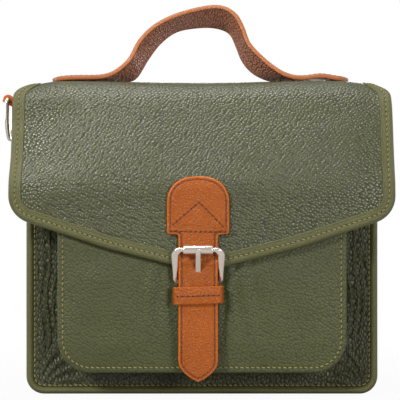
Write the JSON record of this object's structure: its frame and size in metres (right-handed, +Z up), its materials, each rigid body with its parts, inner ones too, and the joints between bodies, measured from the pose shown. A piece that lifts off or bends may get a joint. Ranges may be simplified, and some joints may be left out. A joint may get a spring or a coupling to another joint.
{
  "type": "messenger bag",
  "caption": "Flapped leather messenger bag with a front pocket, a buckled closure strap with a hidden snap, an arched carrying handle and side rings for a shoulder strap.",
  "frame": {"origin": "centre of the flat base face, midway between the front and back panels of the main compartment", "axes": "+Z up, -Y out of the front, +X to the right as seen from the front"},
  "size_m": [0.265, 0.1022, 0.269],
  "materials": {
    "olive_leather": "pebbled, semi-matte",
    "edge_leather": "folded edge strip, semi-matte",
    "tan_leather": "fine grain, semi-matte",
    "handle_leather": "tan face and edge, brown pebbled underside",
    "lining_cloth": "plain weave",
    "board": "matt",
    "nickel": "polished nickel"
  },
  "bodies": {
    "bag_body": {"back_panel": "olive_leather", "front_panel": "olive_leather", "gusset": "olive_leather", "front_rim": "edge_leather", "back_rim": "edge_leather", "base_board": "board", "lining": "lining_cloth", "mouth_hem": "olive_leather", "pocket_front": "olive_leather", "pocket_gusset": "olive_leather", "pocket_hem": "olive_leather", "snap_socket": "nickel", "snap_washer": "nickel", "ring_tab_left": "tan_leather", "ring_tab_right": "tan_leather", "flap_seam": "olive_leather"},
    "flap_top": {"flap_top_leather": "olive_leather", "flap_top_lining": "lining_cloth", "flap_top_binding": "edge_leather", "handle_end_left": "handle_leather", "handle_end_right": "handle_leather"},
    "handle": {"handle_grip": "handle_leather", "handle_root_left": "handle_leather", "handle_root_right": "handle_leather"},
    "flap_front": {"flap_front_leather": "olive_leather", "flap_front_lining": "lining_cloth", "flap_front_binding": "edge_leather", "closure_tab": "tan_leather"},
    "closure_strap": {"strap_tongue": "tan_leather", "chape": "tan_leather", "snap_stud": "nickel", "buckle_frame": "nickel"},
    "buckle_roller": {"buckle_roller": "nickel"},
    "buckle_prong": {"buckle_prong": "nickel"},
    "strap_keeper": {"strap_keeper": "tan_leather"},
    "ring_left": {"d_ring_left": "nickel"},
    "ring_right": {"d_ring_right": "nickel"}
  },
  "joints": [
    {"name": "flap_top_hinge", "type": "hinge", "parent": "bag_body", "child": "flap_top", "pos_m": [0, 0.0311, 0.199], "axis": [-1, 0, 0], "range_deg": [0, 100]},
    {"name": "flap_front_hinge", "type": "hinge", "parent": "flap_top", "child": "flap_front", "pos_m": [0, -0.03128, 0.20906], "axis": [-1, 0, 0], "range_deg": [0, 170]},
    {"name": "strap_lift", "type": "hinge", "parent": "flap_front", "child": "closure_strap", "pos_m": [-0.0025, -0.0614, 0.107], "axis": [-1, 0, 0], "range_deg": [0, 75]},
    {"name": "prong_lift", "type": "hinge", "parent": "closure_strap", "child": "buckle_prong", "pos_m": [-0.0025, -0.05513, 0.0785], "axis": [1, 0, 0], "range_deg": [0, 6]},
    {"name": "roller_spin", "type": "hinge", "parent": "closure_strap", "child": "buckle_roller", "pos_m": [-0.0025, -0.0644, 0.0994], "axis": [1, 0, 0], "continuous": true},
    {"name": "keeper_slide", "type": "slide", "parent": "closure_strap", "child": "strap_keeper", "axis": [0, 0, 1], "range_m": [-0.006, 0]},
    {"name": "handle_lean", "type": "hinge", "parent": "flap_top", "child": "handle", "pos_m": [0, 0.0135, 0.2148], "axis": [-1, 0, 0], "range_deg": [-15, 30], "stiffness_Nm_per_rad": 0.08, "deforming": ["handle_root_left", "handle_root_right"]},
    {"name": "ring_left_swing", "type": "hinge", "parent": "bag_body", "child": "ring_left", "pos_m": [-0.134, 0, 0.201], "axis": [0, 1, 0], "range_deg": [0, 150]},
    {"name": "ring_right_swing", "type": "hinge", "parent": "bag_body", "child": "ring_right", "pos_m": [0.1236, 0, 0.201], "axis": [0, -1, 0], "range_deg": [0, 150]}
  ]
}
